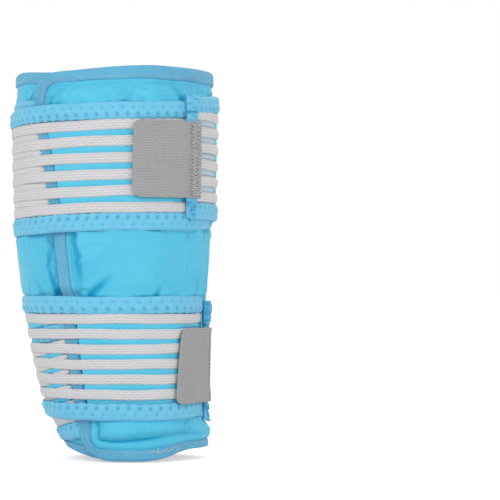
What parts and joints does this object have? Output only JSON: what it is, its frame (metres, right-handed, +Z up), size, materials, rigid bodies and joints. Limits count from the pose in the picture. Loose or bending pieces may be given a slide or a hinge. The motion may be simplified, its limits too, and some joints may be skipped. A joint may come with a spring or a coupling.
{
  "type": "cold compression leg wrap",
  "caption": "Gel-filled cold wrap for the lower leg, wound round shin and calf and held by elastic strip straps that close with hook tabs on the front.",
  "frame": {"origin": "on the upright axis of the calf end of the leg passage, at the level of the lower rim", "axes": "+Z up along the leg, -Y out of the front of the shin, +X to the right in the front view"},
  "size_m": [0.1369, 0.1397, 0.252],
  "materials": {
    "cover_nylon": "smooth coated nylon with a soft sheen",
    "lining_felt": "brushed knit",
    "gel": "soft sealed gel",
    "pad_binding": "folded woven tape with a sewn edge",
    "elastic_strips": "knitted elastic",
    "strap_tape": "woven tape with zigzag sewing",
    "hook_tape": "ribbed hook tape back",
    "hook_field": "fine moulded hooks",
    "thread": "sewing thread"
  },
  "bodies": {
    "back_panel": {"back_cover": "cover_nylon", "back_lining": "lining_felt", "right_gel_pack": "gel", "rear_gel_pack": "gel", "left_gel_pack": "gel", "back_top_binding": "pad_binding", "back_bottom_binding": "pad_binding", "upper_anchor_strips": "elastic_strips", "upper_anchor_tapes": "strap_tape", "upper_sewn_strips": "elastic_strips", "upper_sewn_tapes": "strap_tape", "upper_sewn_end": "strap_tape", "lower_anchor_strips": "elastic_strips", "lower_anchor_tapes": "strap_tape", "lower_sewn_strips": "elastic_strips", "lower_sewn_tapes": "strap_tape", "lower_sewn_end": "strap_tape"},
    "front_flap": {"flap_cover": "cover_nylon", "flap_lining": "lining_felt", "front_gel_pack": "gel", "flap_binding": "pad_binding"},
    "inner_end": {"inner_cover": "cover_nylon", "inner_lining": "lining_felt", "inner_gel_pack": "gel", "inner_binding": "pad_binding", "upper_anchor_end_strips": "elastic_strips", "upper_anchor_end_tapes": "strap_tape", "lower_anchor_end_strips": "elastic_strips", "lower_anchor_end_tapes": "strap_tape"},
    "upper_landing_strap": {"upper_landing_strips": "elastic_strips", "upper_landing_top_tape": "strap_tape", "upper_landing_bottom_tape": "strap_tape", "upper_landing_end": "strap_tape"},
    "upper_hook_strap": {"upper_hook_strips": "elastic_strips", "upper_hook_top_tape": "strap_tape", "upper_hook_bottom_tape": "strap_tape", "upper_hook_end_tape": "strap_tape", "upper_tab_foot": "hook_tape", "upper_tab_thread": "thread"},
    "upper_hook_tab": {"upper_tab": "hook_tape", "upper_tab_hooks": "hook_field"},
    "lower_landing_strap": {"lower_landing_strips": "elastic_strips", "lower_landing_top_tape": "strap_tape", "lower_landing_bottom_tape": "strap_tape", "lower_landing_end": "strap_tape"},
    "lower_hook_strap": {"lower_hook_strips": "elastic_strips", "lower_hook_top_tape": "strap_tape", "lower_hook_bottom_tape": "strap_tape", "lower_hook_end_tape": "strap_tape", "lower_tab_foot": "hook_tape", "lower_tab_thread": "thread"},
    "lower_hook_tab": {"lower_tab": "hook_tape", "lower_tab_hooks": "hook_field"}
  },
  "joints": [
    {"name": "flap_open", "type": "hinge", "parent": "back_panel", "child": "front_flap", "pos_m": [0.04666, -0.03782, 0.126], "axis": [0.0031, -0.0135, 0.9999], "range_deg": [0, 75]},
    {"name": "inner_end_open", "type": "hinge", "parent": "back_panel", "child": "inner_end", "pos_m": [-0.05879, -0.02208, 0.118], "axis": [-0.0963, -0.0039, 0.9953], "range_deg": [-34.75, 0]},
    {"name": "upper_landing_swing", "type": "hinge", "parent": "back_panel", "child": "upper_landing_strap", "pos_m": [-0.06552, 0.01877, 0.184], "axis": [-0.0278, 0.0092, 0.9996], "range_deg": [-128.5, 0]},
    {"name": "lower_landing_swing", "type": "hinge", "parent": "back_panel", "child": "lower_landing_strap", "pos_m": [-0.05287, 0.01368, 0.0654], "axis": [-0.1923, 0.0803, 0.978], "range_deg": [-128.5, 0]},
    {"name": "upper_hook_swing", "type": "hinge", "parent": "back_panel", "child": "upper_hook_strap", "pos_m": [0.04742, 0.04574, 0.195], "axis": [0.0108, 0.0145, 0.9998], "range_deg": [0, 151]},
    {"name": "lower_hook_swing", "type": "hinge", "parent": "back_panel", "child": "lower_hook_strap", "pos_m": [0.04335, 0.03587, 0.062], "axis": [-0.0134, 0.1322, 0.9911], "range_deg": [0, 151]},
    {"name": "upper_tab_peel", "type": "hinge", "parent": "upper_hook_strap", "child": "upper_hook_tab", "pos_m": [0.04702, -0.05701, 0.1915], "axis": [0.0099, -0.014, 0.9999], "range_deg": [0, 150]},
    {"name": "lower_tab_peel", "type": "hinge", "parent": "lower_hook_strap", "child": "lower_hook_tab", "pos_m": [0.06126, -0.01756, 0.0605], "axis": [0.0138, 0.027, 0.9995], "range_deg": [0, 150]}
  ],
  "couplings": [
    {"joint": "inner_end_open", "follows": "flap_open", "ratio": -0.45},
    {"joint": "upper_landing_swing", "follows": "flap_open", "ratio": -1.7},
    {"joint": "upper_hook_swing", "follows": "flap_open", "ratio": 2},
    {"joint": "lower_landing_swing", "follows": "flap_open", "ratio": -1.7},
    {"joint": "lower_hook_swing", "follows": "flap_open", "ratio": 2}
  ]
}
